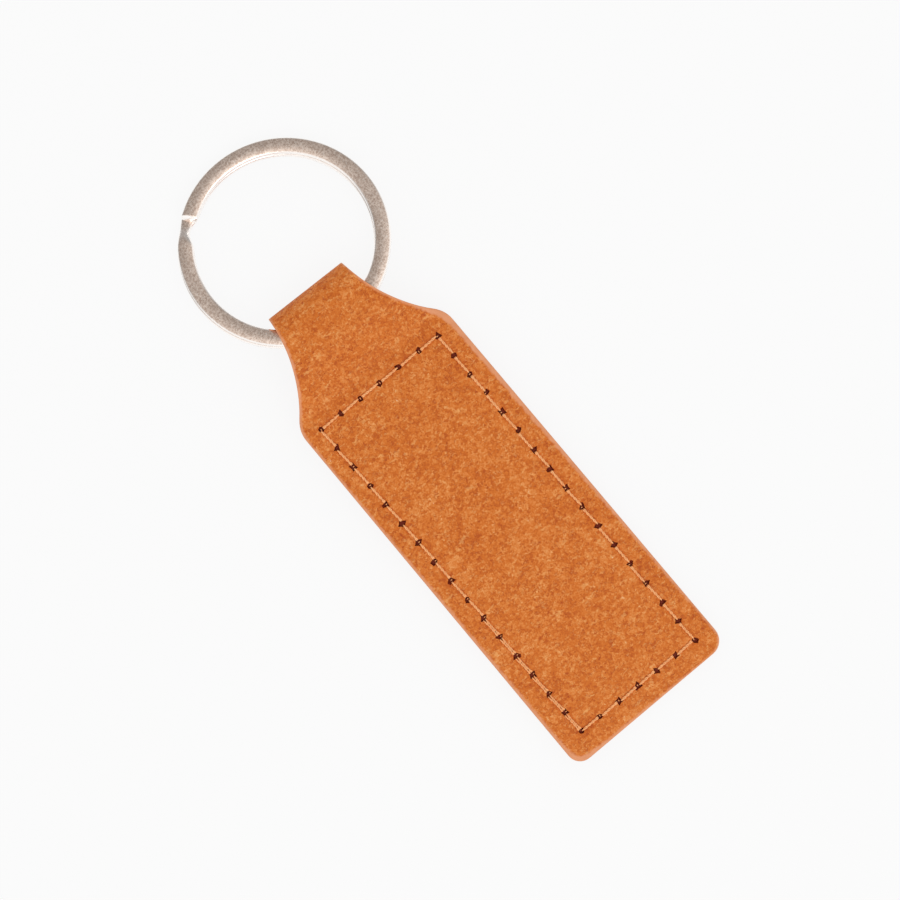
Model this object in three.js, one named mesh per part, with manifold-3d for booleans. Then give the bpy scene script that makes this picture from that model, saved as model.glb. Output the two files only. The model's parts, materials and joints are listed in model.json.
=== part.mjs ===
// Keychain: a leather strap folded over a split ring, glued and sewn into a flat fob.
// Millimetres, +Z up. The keychain lies on a table at z = 0, and +Y points from the fob towards the ring.
// The origin is the middle of its footprint on the table.
import * as THREE from "three";
import { mergeVertices } from "three/addons/utils/BufferGeometryUtils.js";
import Module from "manifold-3d";

const wasm = await Module();
wasm.setup();

// Leather strap
const strapThickness = 1.1;
const fobLength = 75.9; // from the fold to the lower edge
const bodyWidthTop = 26.75; // at the shoulders
const bodyWidthEnd = 27.15; // at the lower edge
const neckWidth = 13; // at the fold
const neckSideAngle = THREE.MathUtils.degToRad(3); // how far the neck's sides lean outwards at the fold
const neckFlareRadius = 21.5;
const shoulderRadius = 4.2;
const cornerRadiusRight = 2.7;
const cornerRadiusLeft = 2.1;

// Loop that the fold leaves open for the ring
const loopTaper = 7.4; // length over which the leaves close up behind the ring
const loopClearance = 0.1; // between the band's widest swing and the leather
const bandAllowance = 1; // how far past the neck's sides the band still swings inside the loop's height

// Adhesive film between the leaves
const filmThickness = 0.14;
const filmClearance = 0.03;
const filmInset = 0.5; // from the strap's edges to the film's

// Seam: where its four corner holes lie, from the fob's edges
const seamFromFoldLeft = 16.4;
const seamFromFoldRight = 16.9;
const seamFromEndLeft = 3.6;
const seamFromEndRight = 3.2;
const seamFromSideTopLeft = 2.6;
const seamFromSideTopRight = 3.1;
const seamFromSideEndLeft = 3.6;
const seamFromSideEndRight = 3.2;
const stitchLength = 3.48;

// Threads, and the holes and the pressed groove that they lie in
const threadDiameter = 0.3;
const threadClearance = 0.045;
const threadSides = 5;
const threadRun = 0.42; // from a hole's middle to where the thread on the surface turns down
const threadDive = 0.3; // how far below the groove a leg of thread stands upright
const holeSides = 8;

// Split ring: one flattened wire in two turns
const ringDiameter = 30;
const wireWidth = 2.3;
const wireThickness = 1;
const wireEdgeBevel = 0.35;
const coilGap = 0.42; // between the two turns
const stepsPerTurn = 48;
const upperEndAngle = THREE.MathUtils.degToRad(124.9);
const lowerEndAngle = THREE.MathUtils.degToRad(143.9);
const stepEndAngle = THREE.MathUtils.degToRad(2.4); // from a wire end to where the step begins
const stepWireWidth = 0.95; // the wire is drawn in where it steps up
const stepOuterDent = 0.28;
const stepStations = 8;
const gapStations = 180; // sections per turn that the gap between the turns is measured at
const stepNarrowShares = [0.25, 0.5]; // of the step, where the wire is at its narrowest
const wireEndBevel = 0.4;
const ringOffset = 2.27; // from the fob's middle line to the ring's centre
const ringNoseGap = 0.7; // from the inside of the fold to the ring's bore, at the neck's left side

// Fineness of curves, and how far a cutter runs past what it cuts
const arcSegments = 5;
const loopNoseSegments = 12;
const loopTaperSegments = 8;
const overrun = 2;

// Sizes that follow
const wireRadius = ringDiameter / 2 - wireWidth / 2;
const boreRadius = ringDiameter / 2 - wireWidth;
const boreAtNeck = Math.sqrt(boreRadius ** 2 - (neckWidth / 2 + ringOffset) ** 2);
const ringBeyondFold = boreAtNeck - strapThickness - ringNoseGap; // from the fold to the ring's centre
const ringBehindFold = ringDiameter / 2 - ringBeyondFold;
const ringThickness = 2 * wireThickness + coilGap;
const leafGap = filmThickness + 2 * filmClearance;
const leafHeight = leafGap / 2 + strapThickness; // from the middle plane to a leaf's outer face
const threadRadius = threadDiameter / 2;
const legSpread = (threadDiameter + threadClearance) / Math.SQRT2;
const linkHeight = (threadDiameter + threadClearance) / 2;
const holeRadius = (legSpread * Math.SQRT2 + threadRadius + threadClearance) / Math.cos(Math.PI / holeSides);
const grooveWidth = threadDiameter + 2 * threadClearance;
const grooveDepth = threadDiameter + threadClearance;

// Centre of the arc that flares the neck, on the right side
const flareCentre = new THREE.Vector2(
  neckWidth / 2 + neckFlareRadius * Math.cos(neckSideAngle),
  neckFlareRadius * Math.sin(neckSideAngle),
);

// Centre of the arc that rounds the right shoulder, and the turn at which the two arcs meet
const shoulderX = bodyWidthTop / 2 - shoulderRadius;
const shoulderY =
  flareCentre.y - Math.sqrt((neckFlareRadius + shoulderRadius) ** 2 - (flareCentre.x - shoulderX) ** 2);
const shoulderTurn = Math.atan2(flareCentre.y - shoulderY, flareCentre.x - shoulderX);

function neckHalfWidthAt(y) {
  return flareCentre.x - Math.sqrt(neckFlareRadius ** 2 - (y - flareCentre.y) ** 2);
}

// Where the middle of the ring's band leaves the neck: on the right for side 1, on the left for side -1
function bandExit(side) {
  const rounds = 12;
  let halfWidth = neckWidth / 2;
  let y = 0;
  for (let round = 0; round < rounds; round++) {
    y = ringBeyondFold - Math.sqrt(wireRadius ** 2 - (side * halfWidth - ringOffset) ** 2);
    halfWidth = neckHalfWidthAt(y);
  }
  return new THREE.Vector2(side * halfWidth, y);
}

// The ring swings about the chord on which its band crosses the neck.
const exitLeft = bandExit(-1);
const exitRight = bandExit(1);
const swingAngle = exitRight.clone().sub(exitLeft).angle();
const halfChord = exitLeft.distanceTo(exitRight) / 2;
const boreReach = Math.sqrt(boreRadius ** 2 - (halfChord + bandAllowance) ** 2);
const swingDistance = (ringDiameter / 2 + boreReach) / 2; // from the ring's centre to the swing axis
const swingPoint = new THREE.Vector2(
  ringOffset + swingDistance * Math.sin(swingAngle),
  ringBeyondFold - swingDistance * Math.cos(swingAngle),
);

// The loop is as high as the band needs to turn right round that axis.
const bandReach = ringDiameter / 2 - swingDistance;
const sweptRadius = Math.max(
  Math.hypot(bandReach, ringThickness / 2 - wireEdgeBevel),
  Math.hypot(bandReach - wireEdgeBevel, ringThickness / 2),
);
const loopRadius = sweptRadius + loopClearance + strapThickness / 2; // to the middle of the leather
const loopHeight = loopRadius + strapThickness / 2;

// A closed geometry as a solid, and a solid as a geometry
function solidOf(geometry) {
  const bare = geometry.clone();
  bare.deleteAttribute("normal");
  bare.deleteAttribute("uv");
  const merged = mergeVertices(bare);
  return new wasm.Manifold(
    new wasm.Mesh({
      numProp: 3,
      vertProperties: merged.attributes.position.array,
      triVerts: new Uint32Array(merged.index.array),
    }),
  );
}

function geometryOf(solid) {
  const mesh = solid.getMesh();
  const geometry = new THREE.BufferGeometry();
  geometry.setAttribute("position", new THREE.BufferAttribute(mesh.vertProperties, 3));
  geometry.setIndex(new THREE.BufferAttribute(mesh.triVerts, 1));
  const faceted = geometry.toNonIndexed();
  faceted.computeVertexNormals();
  return faceted;
}

// Joins rings of points, all with the same count, into one closed tube with flat ends.
function loft(rings) {
  const count = rings[0].length;
  const index = [];
  for (let ring = 0; ring + 1 < rings.length; ring++) {
    for (let i = 0; i < count; i++) {
      const a = ring * count + i;
      const b = ring * count + ((i + 1) % count);
      index.push(a, b, b + count, a, b + count, a + count);
    }
  }
  const last = (rings.length - 1) * count;
  for (let i = 1; i + 1 < count; i++) {
    index.push(0, i + 1, i);
    index.push(last, last + i, last + i + 1);
  }
  const geometry = new THREE.BufferGeometry();
  const positions = rings.flat().flatMap((point) => point.toArray());
  geometry.setAttribute("position", new THREE.Float32BufferAttribute(positions, 3));
  geometry.setIndex(index);
  geometry.computeVertexNormals();
  return geometry;
}

// A round tube along straight runs, mitred at each corner
function tube(points, radius, sides) {
  const directions = points.slice(1).map((point, i) => point.clone().sub(points[i]).normalize());
  const across = new THREE.Vector3(0, 0, 1).cross(directions[0]).normalize();
  if (across.lengthSq() === 0) {
    across.set(1, 0, 0);
  }
  const rings = points.map((point, i) => {
    const before = directions[Math.max(i - 1, 0)];
    const after = directions[Math.min(i, directions.length - 1)];
    const turn = new THREE.Quaternion().setFromUnitVectors(before, after);
    const plane = before.clone().add(after).normalize();
    const up = before.clone().cross(across).normalize();
    const ring = [];
    for (let side = 0; side < sides; side++) {
      const angle = (2 * Math.PI * side) / sides;
      const spoke = across.clone().multiplyScalar(Math.cos(angle)).addScaledVector(up, Math.sin(angle));
      spoke.addScaledVector(before, -spoke.dot(plane) / before.dot(plane));
      ring.push(point.clone().addScaledVector(spoke, radius));
    }
    across.applyQuaternion(turn);
    return ring;
  });
  return loft(rings);
}

function extrude(shape, low, high) {
  const geometry = new THREE.ExtrudeGeometry(shape, {
    depth: high - low,
    bevelEnabled: false,
    curveSegments: arcSegments,
  });
  return geometry.translate(0, 0, low);
}

// The fob's lower edge, from its left corner to its right one, moved in from the strap's edge
function roundLowerCorners(outline, inset) {
  const leftX = cornerRadiusLeft - bodyWidthEnd / 2;
  const leftY = cornerRadiusLeft - fobLength;
  const rightX = bodyWidthEnd / 2 - cornerRadiusRight;
  const rightY = cornerRadiusRight - fobLength;
  outline.absarc(leftX, leftY, cornerRadiusLeft - inset, Math.PI, 1.5 * Math.PI, false);
  outline.absarc(rightX, rightY, cornerRadiusRight - inset, -0.5 * Math.PI, 0, false);
}

// The strap as it is cut, seen from the front, with the neck running past the fold
function strapOutline() {
  const turn = shoulderTurn;
  const neckEnd = Math.PI + neckSideAngle;
  const outline = new THREE.Shape();
  outline.moveTo(-neckWidth / 2, overrun);
  outline.lineTo(-neckWidth / 2, 0);
  outline.absarc(-flareCentre.x, flareCentre.y, neckFlareRadius, -neckSideAngle, -turn, true);
  outline.absarc(-shoulderX, shoulderY, shoulderRadius, Math.PI - turn, Math.PI, false);
  roundLowerCorners(outline, 0);
  outline.absarc(shoulderX, shoulderY, shoulderRadius, 0, turn, false);
  outline.absarc(flareCentre.x, flareCentre.y, neckFlareRadius, Math.PI + turn, neckEnd, true);
  outline.lineTo(neckWidth / 2, overrun);
  return outline;
}

// The middle of the leather from the front leaf's lower end, round the loop, to the back leaf's lower end
function foldLine() {
  const flat = leafHeight - strapThickness / 2;
  const taperEnd = -(ringBehindFold + loopTaper);
  const front = [new THREE.Vector2(-fobLength - overrun, flat)];
  for (let i = 0; i <= loopTaperSegments; i++) {
    const share = i / loopTaperSegments;
    const rise = (1 - Math.cos(Math.PI * share)) / 2;
    front.push(new THREE.Vector2(taperEnd + loopTaper * share, flat + (loopRadius - flat) * rise));
  }
  const nose = [];
  for (let i = 0; i <= loopNoseSegments; i++) {
    const angle = Math.PI / 2 - (Math.PI * i) / loopNoseSegments;
    nose.push(new THREE.Vector2(-loopHeight + loopRadius * Math.cos(angle), loopRadius * Math.sin(angle)));
  }
  const back = front.map((point) => new THREE.Vector2(point.x, -point.y)).reverse();
  return [...front, ...nose, ...back];
}

// The fold line moved sideways, keeping the leather's thickness round its bends
function besideFoldLine(line, distance) {
  return line.map((point, i) => {
    const before = point.clone().sub(line[Math.max(i - 1, 0)]).normalize();
    const after = line[Math.min(i + 1, line.length - 1)].clone().sub(point).normalize();
    const along = before.add(after).normalize();
    const bend = i > 0 && i < line.length - 1 ? along.dot(after) : 1;
    return new THREE.Vector2(point.x - (along.y * distance) / bend, point.y + (along.x * distance) / bend);
  });
}

const strapFoldLine = foldLine();
const outerFace = besideFoldLine(strapFoldLine, strapThickness / 2);
const innerFace = besideFoldLine(strapFoldLine, -strapThickness / 2);

// Seam: one hole per stitch end, clockwise from the upper left corner
const seamCorners = [
  new THREE.Vector2(-bodyWidthTop / 2 + seamFromSideTopLeft, -seamFromFoldLeft),
  new THREE.Vector2(bodyWidthTop / 2 - seamFromSideTopRight, -seamFromFoldRight),
  new THREE.Vector2(bodyWidthEnd / 2 - seamFromSideEndRight, seamFromEndRight - fobLength),
  new THREE.Vector2(-bodyWidthEnd / 2 + seamFromSideEndLeft, seamFromEndLeft - fobLength),
];

const seamHoles = seamCorners.flatMap((corner, i) => {
  const next = seamCorners[(i + 1) % seamCorners.length];
  const stitches = Math.round(corner.distanceTo(next) / stitchLength);
  return Array.from({ length: stitches }, (_, k) => corner.clone().lerp(next, k / stitches));
});

function holeCutter(place) {
  const cutter = new THREE.CylinderGeometry(holeRadius, holeRadius, 2 * (leafHeight + overrun), holeSides);
  cutter.rotateX(Math.PI / 2);
  return solidOf(cutter.translate(place.x, place.y, 0));
}

// The groove that the stitches press into both faces, along one side of the seam
function grooveCutter(from, to, face) {
  const cutter = new THREE.BoxGeometry(from.distanceTo(to), grooveWidth, 2 * grooveDepth);
  cutter.rotateZ(to.clone().sub(from).angle());
  const middle = from.clone().lerp(to, 0.5);
  return solidOf(cutter.translate(middle.x, middle.y, face * leafHeight));
}

function strapGeometry() {
  const side = new THREE.Shape([...outerFace, ...innerFace.slice().reverse()]);
  const halfWidth = bodyWidthEnd / 2 + overrun;
  const folded = extrude(side, -halfWidth, halfWidth);
  folded.applyMatrix4(
    new THREE.Matrix4().makeBasis(
      new THREE.Vector3(0, 1, 0),
      new THREE.Vector3(0, 0, 1),
      new THREE.Vector3(1, 0, 0),
    ),
  );
  const height = loopHeight + overrun;
  let strap = solidOf(folded).intersect(solidOf(extrude(strapOutline(), -height, height)));
  for (const hole of seamHoles) {
    strap = strap.subtract(holeCutter(hole));
  }
  seamCorners.forEach((corner, i) => {
    const next = seamCorners[(i + 1) % seamCorners.length];
    for (const face of [1, -1]) {
      strap = strap.subtract(grooveCutter(corner, next, face));
    }
  });
  return geometryOf(strap);
}

// Adhesive film: it reaches almost to the edges of the flat leaves, and the seam's holes run through it.
function filmGeometry() {
  const top = -(ringBehindFold + loopTaper + filmInset);
  const radius = shoulderRadius - filmInset;
  const turn = Math.asin(THREE.MathUtils.clamp((top - shoulderY) / radius, 0, 1));
  const outline = new THREE.Shape();
  outline.absarc(-shoulderX, shoulderY, radius, Math.PI - turn, Math.PI, false);
  roundLowerCorners(outline, filmInset);
  outline.absarc(shoulderX, shoulderY, radius, 0, turn, false);
  const sheet = solidOf(extrude(outline, -filmThickness / 2, filmThickness / 2));
  return geometryOf(seamHoles.reduce((film, hole) => film.subtract(holeCutter(hole)), sheet));
}

// One thread of the lockstitch: it lies in the groove of one face and links with the other in each hole.
// The needle thread is on face 1 and the bobbin thread on face -1.
function threadGeometry(face) {
  const onSurface = face * (leafHeight - grooveDepth + threadRadius + threadClearance / 2);
  const upright = face * (leafHeight - grooveDepth - threadDive);
  const link = -face * linkHeight;
  const count = seamHoles.length;
  const points = [];
  for (let i = 0; i <= count; i++) {
    const hole = seamHoles[i % count];
    const arrive = hole.clone().sub(seamHoles[(i + count - 1) % count]).normalize();
    const leave = seamHoles[(i + 1) % count].clone().sub(hole).normalize();
    const along = arrive.clone().add(leave).normalize().multiplyScalar(legSpread);
    const aside = new THREE.Vector2(-along.y, along.x).multiplyScalar(face);
    const legIn = hole.clone().sub(along).add(aside);
    const legOut = hole.clone().add(along).sub(aside);
    const surfaceIn = hole.clone().addScaledVector(arrive, -threadRun);
    const surfaceOut = hole.clone().addScaledVector(leave, threadRun);
    if (i > 0) {
      points.push(new THREE.Vector3(surfaceIn.x, surfaceIn.y, onSurface));
      points.push(new THREE.Vector3(legIn.x, legIn.y, upright));
      points.push(new THREE.Vector3(legIn.x, legIn.y, link));
    }
    if (i < count) {
      points.push(new THREE.Vector3(legOut.x, legOut.y, link));
      points.push(new THREE.Vector3(legOut.x, legOut.y, upright));
      points.push(new THREE.Vector3(surfaceOut.x, surfaceOut.y, onSurface));
    }
  }
  return tube(points, threadRadius, threadSides);
}

// Split ring, about its own centre. The wire starts at the lower end and steps up between its two ends.
const fullTurn = 2 * Math.PI;
const stepStart = upperEndAngle + stepEndAngle + fullTurn;
const stepEnd = lowerEndAngle - stepEndAngle + fullTurn;
const wireEnd = upperEndAngle + 2 * fullTurn;

function smooth(share) {
  return THREE.MathUtils.smoothstep(share, 0, 1);
}

function wireSection(angle) {
  const share = THREE.MathUtils.clamp((angle - stepStart) / (stepEnd - stepStart), 0, 1);
  const [narrowFrom, narrowTo] = stepNarrowShares;
  const narrowing = Math.min(smooth(share / narrowFrom), smooth((1 - share) / (1 - narrowTo)));
  const width = wireWidth - (wireWidth - stepWireWidth) * narrowing;
  const outer = ringDiameter / 2 - stepOuterDent * narrowing;
  const height = (smooth(share) - 0.5) * (wireThickness + coilGap);
  const half = width / 2;
  const rise = wireThickness / 2;
  const corners = [
    [half - wireEdgeBevel, rise],
    [half, rise - wireEdgeBevel],
    [half, wireEdgeBevel - rise],
    [half - wireEdgeBevel, -rise],
    [wireEdgeBevel - half, -rise],
    [-half, wireEdgeBevel - rise],
    [-half, rise - wireEdgeBevel],
    [wireEdgeBevel - half, rise],
  ];
  return { corners, radius: outer - half, height };
}

// The wire's section at one angle, with its upper or lower side cut back at a bevelled end
function wireRing(angle, low, high) {
  const { corners, radius, height } = wireSection(angle);
  return corners.map(([across, up]) => {
    const distance = radius + across;
    const level = height + THREE.MathUtils.clamp(up, low, high);
    return new THREE.Vector3(distance * Math.cos(angle), distance * Math.sin(angle), level);
  });
}

function wireAngles() {
  const angles = [];
  const bevelAngle = wireEndBevel / wireRadius;
  const stretches = [
    [lowerEndAngle + bevelAngle, stepStart, stepsPerTurn],
    [stepStart, stepEnd, (stepStations * fullTurn) / (stepEnd - stepStart)],
    [stepEnd, wireEnd - bevelAngle, stepsPerTurn],
  ];
  for (const [from, to, perTurn] of stretches) {
    const steps = Math.round(((to - from) / fullTurn) * perTurn);
    for (let i = 0; i < steps; i++) {
      angles.push(from + ((to - from) * i) / steps);
    }
  }
  angles.push(wireEnd - bevelAngle);
  return angles;
}

function ringGeometry() {
  const rise = wireThickness / 2;
  const cut = rise - wireEndBevel;
  return loft([
    wireRing(lowerEndAngle, -cut, rise),
    ...wireAngles().map((angle) => wireRing(angle, -rise, rise)),
    wireRing(wireEnd, -rise, cut),
  ]);
}

// The least distance between the ring's turns, measured between corners of sections over a quarter turn apart
function leastCoilGap() {
  const sections = [];
  for (let angle = lowerEndAngle; angle <= wireEnd; angle += fullTurn / gapStations) {
    sections.push(wireRing(angle, -wireThickness, wireThickness));
  }
  const apart = Math.round(gapStations / 4);
  let least = Infinity;
  sections.forEach((section, i) => {
    for (const other of sections.slice(i + apart)) {
      for (const corner of section) {
        const gaps = other.map((point) => corner.distanceTo(point));
        least = Math.min(least, ...gaps);
      }
    }
  });
  return least;
}

console.log("least gap between the ring's turns:", leastCoilGap().toFixed(3));

function piece(name, geometry, color, roughness, metalness) {
  const material = new THREE.MeshStandardMaterial({ color, roughness, metalness });
  const mesh = new THREE.Mesh(geometry, material);
  mesh.name = name;
  return mesh;
}

// The fob leans a little, because it lies on the underside of its loop and on its lower edge.
function fobGroup() {
  const endEdge = new THREE.Vector2(-fobLength, -leafHeight);
  const below = outerFace.filter((point) => point.y < 0 && point.x > endEdge.x);
  const lean = Math.max(...below.map((point) => Math.atan2(endEdge.y - point.y, point.x - endEdge.x)));
  const fob = new THREE.Group();
  fob.rotation.x = lean;
  fob.position.z = fobLength * Math.sin(lean) + leafHeight * Math.cos(lean);
  fob.add(piece("leather_strap", strapGeometry(), "#cd7534", 0.72, 0));
  fob.add(piece("needle_thread", threadGeometry(1), "#f6a873", 0.6, 0));
  fob.add(piece("bobbin_thread", threadGeometry(-1), "#f6a873", 0.6, 0));
  fob.add(piece("adhesive_film", filmGeometry(), "#e9dfc6", 0.5, 0));
  return fob;
}

// The ring dips from the loop until its far side touches the table.
function ringGroup(fob) {
  fob.updateMatrixWorld();
  const pivot = new THREE.Group();
  pivot.position.set(swingPoint.x, swingPoint.y, 0).applyMatrix4(fob.matrixWorld);
  const reach = swingDistance + ringDiameter / 2 - wireEdgeBevel;
  const dip = Math.asin(pivot.position.z / Math.hypot(reach, ringThickness / 2));
  pivot.rotation.order = "ZXY";
  pivot.rotation.z = swingAngle;
  pivot.rotation.x = Math.atan2(ringThickness / 2, reach) - dip;
  const ring = piece("split_ring", ringGeometry(), "#b8aea6", 0.32, 1);
  ring.rotation.z = -swingAngle;
  ring.position.y = swingDistance;
  pivot.add(ring);
  return pivot;
}

const keychain = new THREE.Group();
const fob = fobGroup();
keychain.add(fob, ringGroup(fob));
const footprint = new THREE.Box3().setFromObject(keychain, true).getCenter(new THREE.Vector3());
keychain.position.set(-footprint.x, -footprint.y, 0);

export default keychain;
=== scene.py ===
"""Keychain: a strip of bonded leather folded over a split ring, glued and sewn into a flat fob."""
import json
import math
import random

import bmesh
import bpy
import numpy as np
from mathutils import Matrix, Vector


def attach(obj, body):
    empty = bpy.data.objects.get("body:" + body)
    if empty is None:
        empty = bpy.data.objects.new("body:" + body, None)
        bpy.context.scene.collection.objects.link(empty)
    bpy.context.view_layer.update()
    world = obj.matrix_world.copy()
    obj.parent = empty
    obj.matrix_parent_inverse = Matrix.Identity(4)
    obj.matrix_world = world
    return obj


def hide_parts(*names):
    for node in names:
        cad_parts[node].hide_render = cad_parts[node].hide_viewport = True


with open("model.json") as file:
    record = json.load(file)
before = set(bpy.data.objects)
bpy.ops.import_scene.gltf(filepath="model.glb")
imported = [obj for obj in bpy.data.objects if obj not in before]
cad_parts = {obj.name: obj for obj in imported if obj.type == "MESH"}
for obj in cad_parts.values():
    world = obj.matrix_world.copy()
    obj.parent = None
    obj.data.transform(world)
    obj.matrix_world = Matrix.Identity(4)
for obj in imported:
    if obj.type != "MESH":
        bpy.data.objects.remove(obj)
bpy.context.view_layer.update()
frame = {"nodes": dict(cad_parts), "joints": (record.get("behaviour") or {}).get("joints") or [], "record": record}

# Sizes are in millimetres in the fob's own frame: the fold is at y 0, the lower edge at -y, and the front
# face looks up. A finished piece is put into the model's frame, in metres, by the placing matrices below.
MM = 0.001
DICE = random.Random(7)

# Leather strap
STRAP_THICKNESS = 1.1
LEAF_GAP = 0.2
LEAF_FACE = STRAP_THICKNESS + LEAF_GAP / 2
FOB_LENGTH = 75.9
BODY_WIDTH_TOP = 26.75
BODY_WIDTH_END = 27.15
NECK_WIDTH = 13
NECK_SIDE_ANGLE = math.radians(3)
FLARE_RADIUS = 21.5
SHOULDER_RADIUS = 4.2
CORNER_RADIUS_RIGHT = 2.4
CORNER_RADIUS_LEFT = 2.1
FOLD_SLANT = math.radians(1.4)
LOOP_HEIGHT = 4.02
TAPER_FROM = -15.01
TAPER_TO = -7.61
EDGE_BAND = 1.4

# Seam, from the fob's edges to its four corner holes
SEAM_CORNERS = (
    Vector((2.6 - BODY_WIDTH_TOP / 2, -16.4)),
    Vector((BODY_WIDTH_TOP / 2 - 3.1, -16.9)),
    Vector((BODY_WIDTH_END / 2 - 3.2, 3.2 - FOB_LENGTH)),
    Vector((3.6 - BODY_WIDTH_END / 2, 3.6 - FOB_LENGTH)),
)
STITCH = 3.48
CREASE_DEPTH = 0.09
CREASE_REACH = 0.7
CREASE_FLOOR = 0.1
CREASE_LEVELS = 16
CREASE_LINES = (0.12, 0.28, 0.45, 0.65, 0.9)
HOLE_RADIUS = 0.68
HOLE_DEPTH = 0.75
HOLE_SIZE_SHARES = (0.85, 1.1)
HOLE_TIP_SHARE = 0.62
STAR_SHARE = 0.6
PUNCH_PROUD = 0.08
KNOT_DEPTH = 0.3

# Two-ply thread
PLY_RADIUS = 0.12
PLY_OFFSET = 0.085
PLY_SIDES = 6
TWIST_PITCH = 1.3
THREAD_PROUD = 0.06
BACK_THREAD_SUNK = 0.12
KNOTTED_SHARE = 0.55
KNOT_PLY_SHARE = 0.6
KNOT_REACH_SHARE = 0.8
STITCH_LEAN = (0.02, 0.07)
STITCH_LANES = (-0.2, -0.06)
BACK_TACKED = range(28, 34)
BACK_TACKED_LANES = (-0.2, 0.14)
BACK_TACKED_WIDTH_SHARE = 0.75

# Split ring
RING_RADIUS = 15
WIRE_WIDTH = 2.3
WIRE_THICKNESS = 1.12
WIRE_EDGE_THICKNESS_SHARE = 0.62
COIL_PITCH = 1.17
WIRE_ROUNDING_INNER = 0.3
WIRE_ROUNDING_OUTER = 0.24
LOWER_TURN_SLIP = Vector((-0.22, 0.04, 0))
OUT_OF_ROUND = (1.011, 1.003)
OUT_OF_ROUND_TOWARDS = math.radians(320)
UPPER_END = math.radians(127.2)
LOWER_END = math.radians(143.9)
STEP_FROM = math.radians(127.3)
STEP_TO = math.radians(141.5)
STEP_WIDTH = 1.4
STEP_DENT = 0.18
STEP_NARROW_SHARES = (-0.38, 0.39, 1.23)
UPPER_END_SLOPE = math.radians(34)
END_ROUNDING = 0.08
END_REACH = 2.2
CUT_AWAY = (-1.4, 0.1)
TURN_STEPS = 88
NARROW_STEPS = 32
# Wire sides that lean from upright by more than this get a painted reflection: the nickel finish paints them near
# white.
SHEEN_LEAN = 0.96
SHEEN_LEAN_REACH = 0.16

# Edge rounding
PAINTED_EDGE = 0.42
FLESH_EDGE = 0.13
FOLD_EDGE = 0.1
SHARP_EDGE = math.radians(60)


# Where the fob and the ring lie in the model's frame
mounts = {mount["name"]: mount for mount in frame["record"]["mounts"]}
BACK_POINT = Vector((0, -45, -LEAF_FACE))
BORE_RADIUS = RING_RADIUS - WIRE_WIDTH


def fob_place():
    back = mounts["back_face"]
    lean = Matrix.Rotation(math.asin(back["axis"][1]), 4, "X")
    origin = Vector(back["pos_m"]) - (lean @ BACK_POINT) * MM
    return Matrix.Translation(origin) @ lean @ Matrix.Scale(MM, 4)


def ring_place():
    hang = mounts["ring_hang"]
    outward = Vector(hang["axis"])
    across = Vector(frame["joints"][0]["axis"])
    up = across.cross(outward)
    swing = math.atan2(across.y, across.x)
    basis = Matrix((across, outward, up)).transposed().to_4x4()
    centre = Vector(hang["pos_m"]) - outward * BORE_RADIUS * MM
    return Matrix.Translation(centre) @ basis @ Matrix.Rotation(-swing, 4, "Z") @ Matrix.Scale(MM, 4)


FOB_PLACE = fob_place()
RING_PLACE = ring_place()


# Modelling by hand
def start(name, add, **size):
    """Adds a primitive with nothing else selected, and opens it for editing."""
    if bpy.context.object and bpy.context.object.mode != "OBJECT":
        bpy.ops.object.mode_set(mode="OBJECT")
    bpy.ops.object.select_all(action="DESELECT")
    add(**size)
    bpy.ops.object.transform_apply(location=True, rotation=True, scale=True)
    piece = bpy.context.object
    piece.name = name
    piece.data.name = name
    bpy.ops.object.mode_set(mode="EDIT")
    return piece


def pick(piece, kind, wanted):
    """Selects only the wanted vertices, edges or faces."""
    bpy.ops.mesh.select_mode(type=kind)
    bpy.ops.mesh.select_all(action="DESELECT")
    mesh = bmesh.from_edit_mesh(piece.data)
    parts = {"VERT": mesh.verts, "EDGE": mesh.edges, "FACE": mesh.faces}[kind]
    for part in parts:
        if wanted(part):
            part.select_set(True)
    mesh.select_flush_mode()
    bmesh.update_edit_mesh(piece.data)


def middle(part):
    """The middle of an edge or a face."""
    places = [vertex.co for vertex in part.verts]
    return sum(places, Vector()) / len(places)


def shift(way):
    bpy.ops.transform.translate(value=way)


def turn(angle, axis, centre):
    """A right-handed turn: without a window the operator turns the other way."""
    bpy.ops.transform.rotate(value=-angle, orient_axis=axis, center_override=centre)


def stretch(factors, centre):
    bpy.ops.transform.resize(value=factors, center_override=centre)


def modify(piece, kind, **settings):
    """Adds a modifier and applies it."""
    bpy.ops.object.mode_set(mode="OBJECT")
    modifier = piece.modifiers.new(kind.title(), kind)
    for setting, value in settings.items():
        setattr(modifier, setting, value)
    bpy.ops.object.modifier_apply(modifier=modifier.name)
    bpy.ops.object.mode_set(mode="EDIT")


def settle(piece, place):
    """Puts a finished piece into the model's frame, with its place in its mesh."""
    bpy.ops.object.mode_set(mode="OBJECT")
    piece.matrix_world = place
    bpy.ops.object.transform_apply(location=True, rotation=True, scale=True)


def eased(share):
    share = min(max(share, 0), 1)
    return share * share * (3 - 2 * share)


# Outline of the fob
FLARE_CENTRE = Vector((
    NECK_WIDTH / 2 + FLARE_RADIUS * math.cos(NECK_SIDE_ANGLE),
    FLARE_RADIUS * math.sin(NECK_SIDE_ANGLE),
))
SHOULDER_X = BODY_WIDTH_TOP / 2 - SHOULDER_RADIUS
SHOULDER_Y = FLARE_CENTRE.y - math.sqrt(
    (FLARE_RADIUS + SHOULDER_RADIUS) ** 2 - (FLARE_CENTRE.x - SHOULDER_X) ** 2
)
SHOULDER_TURN = math.atan2(FLARE_CENTRE.y - SHOULDER_Y, FLARE_CENTRE.x - SHOULDER_X)
NECK_FROM = SHOULDER_Y + SHOULDER_RADIUS * math.sin(SHOULDER_TURN)


def half_width(y):
    """Half the strap's width beside the shoulder and the neck."""
    if y < NECK_FROM:
        return SHOULDER_X + math.sqrt(SHOULDER_RADIUS ** 2 - (y - SHOULDER_Y) ** 2)
    return FLARE_CENTRE.x - math.sqrt(FLARE_RADIUS ** 2 - (y - FLARE_CENTRE.y) ** 2)


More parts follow.
